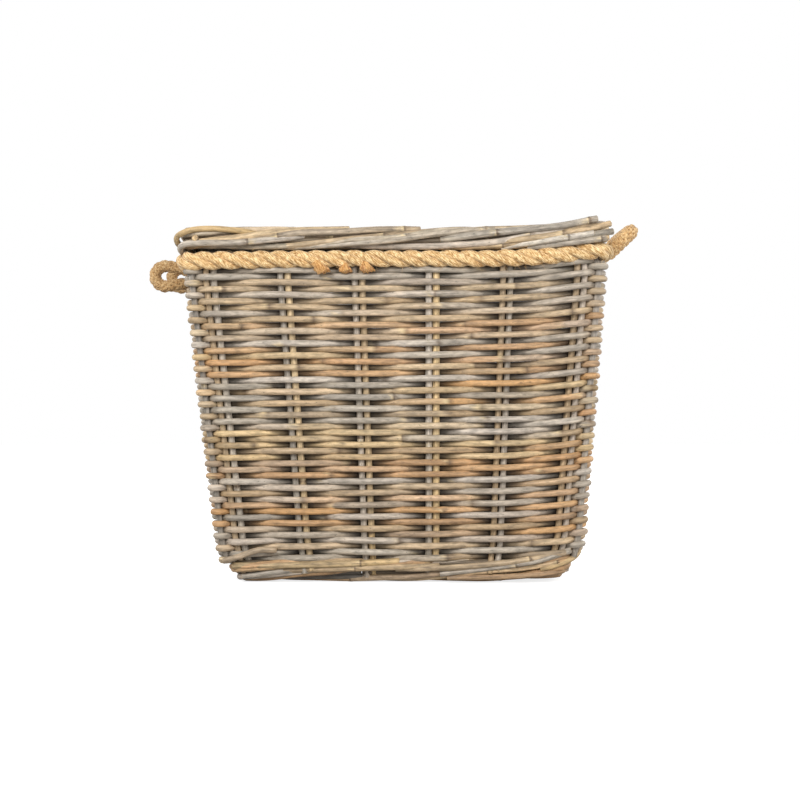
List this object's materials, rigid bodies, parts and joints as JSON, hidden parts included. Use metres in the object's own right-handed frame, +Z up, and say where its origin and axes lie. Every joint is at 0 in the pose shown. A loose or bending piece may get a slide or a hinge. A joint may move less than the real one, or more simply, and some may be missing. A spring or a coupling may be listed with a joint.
{
  "type": "rattan planter",
  "caption": "Rectangular woven rattan planter with rolled cane borders, a rope under the rim and swinging rope handles at both ends.",
  "frame": {"origin": "on the floor, at the middle of the basket in plan", "axes": "+Z up, +X along the long side to the right, -Y towards the front wall"},
  "size_m": [0.691, 0.418, 0.4967],
  "materials": {
    "weaving_cane": "weathered, matt",
    "stake_cane": "weathered, matt",
    "border_cane": "weathered, matt",
    "rope": "natural fibre rope",
    "twine": "fine twisted twine"
  },
  "bodies": {
    "basket": {"floor_frame": "stake_cane", "floor_bar_1": "stake_cane", "floor_bar_2": "stake_cane", "floor_bar_3": "stake_cane", "floor_bar_4": "stake_cane", "floor_bar_5": "stake_cane", "floor_mat": "weaving_cane", "stake_pair_front_1": "stake_cane", "stake_pair_front_2": "stake_cane", "stake_pair_front_3": "stake_cane", "stake_pair_front_4": "stake_cane", "stake_pair_front_5": "stake_cane", "stake_pair_front_6": "stake_cane", "stake_pair_right_1": "stake_cane", "stake_pair_right_2": "stake_cane", "stake_pair_right_3": "stake_cane", "stake_pair_right_4": "stake_cane", "stake_pair_back_1": "stake_cane", "stake_pair_back_2": "stake_cane", "stake_pair_back_3": "stake_cane", "stake_pair_back_4": "stake_cane", "stake_pair_back_5": "stake_cane", "stake_pair_back_6": "stake_cane", "stake_pair_left_1": "stake_cane", "stake_pair_left_2": "stake_cane", "stake_pair_left_3": "stake_cane", "stake_pair_left_4": "stake_cane", "corner_post_front_left": "stake_cane", "corner_post_front_right": "stake_cane", "corner_post_back_right": "stake_cane", "corner_post_back_left": "stake_cane", "weaver_a_1": "weaving_cane", "weaver_a_2": "weaving_cane", "weaver_a_3": "weaving_cane", "weaver_a_4": "weaving_cane", "weaver_a_5": "weaving_cane", "weaver_a_6": "weaving_cane", "weaver_b_1": "weaving_cane", "weaver_b_2": "weaving_cane", "weaver_b_3": "weaving_cane", "weaver_b_4": "weaving_cane", "weaver_b_5": "weaving_cane", "weaver_b_6": "weaving_cane", "rim_cane_1": "border_cane", "rim_cane_2": "border_cane", "rim_cane_3": "border_cane", "rim_cane_4": "border_cane", "rim_cane_5": "border_cane", "rim_cane_6": "border_cane", "foot_cane_1": "border_cane", "foot_cane_2": "border_cane", "foot_cane_3": "border_cane", "foot_cane_4": "border_cane", "rim_rope": "rope", "lashing_left_front": "twine", "lashing_left_back": "twine", "lashing_right_front": "twine", "lashing_right_back": "twine"},
    "left_handle": {"handle_left": "twine"},
    "right_handle": {"handle_right": "twine"}
  },
  "joints": [
    {"name": "handle_left_swing", "type": "hinge", "parent": "basket", "child": "left_handle", "pos_m": [-0.28251, 0, 0.435], "axis": [0, 1, 0], "range_deg": [-8, 45]},
    {"name": "handle_right_swing", "type": "hinge", "parent": "basket", "child": "right_handle", "pos_m": [0.28251, 0, 0.445], "axis": [0, -1, 0], "range_deg": [-75, 15]}
  ]
}
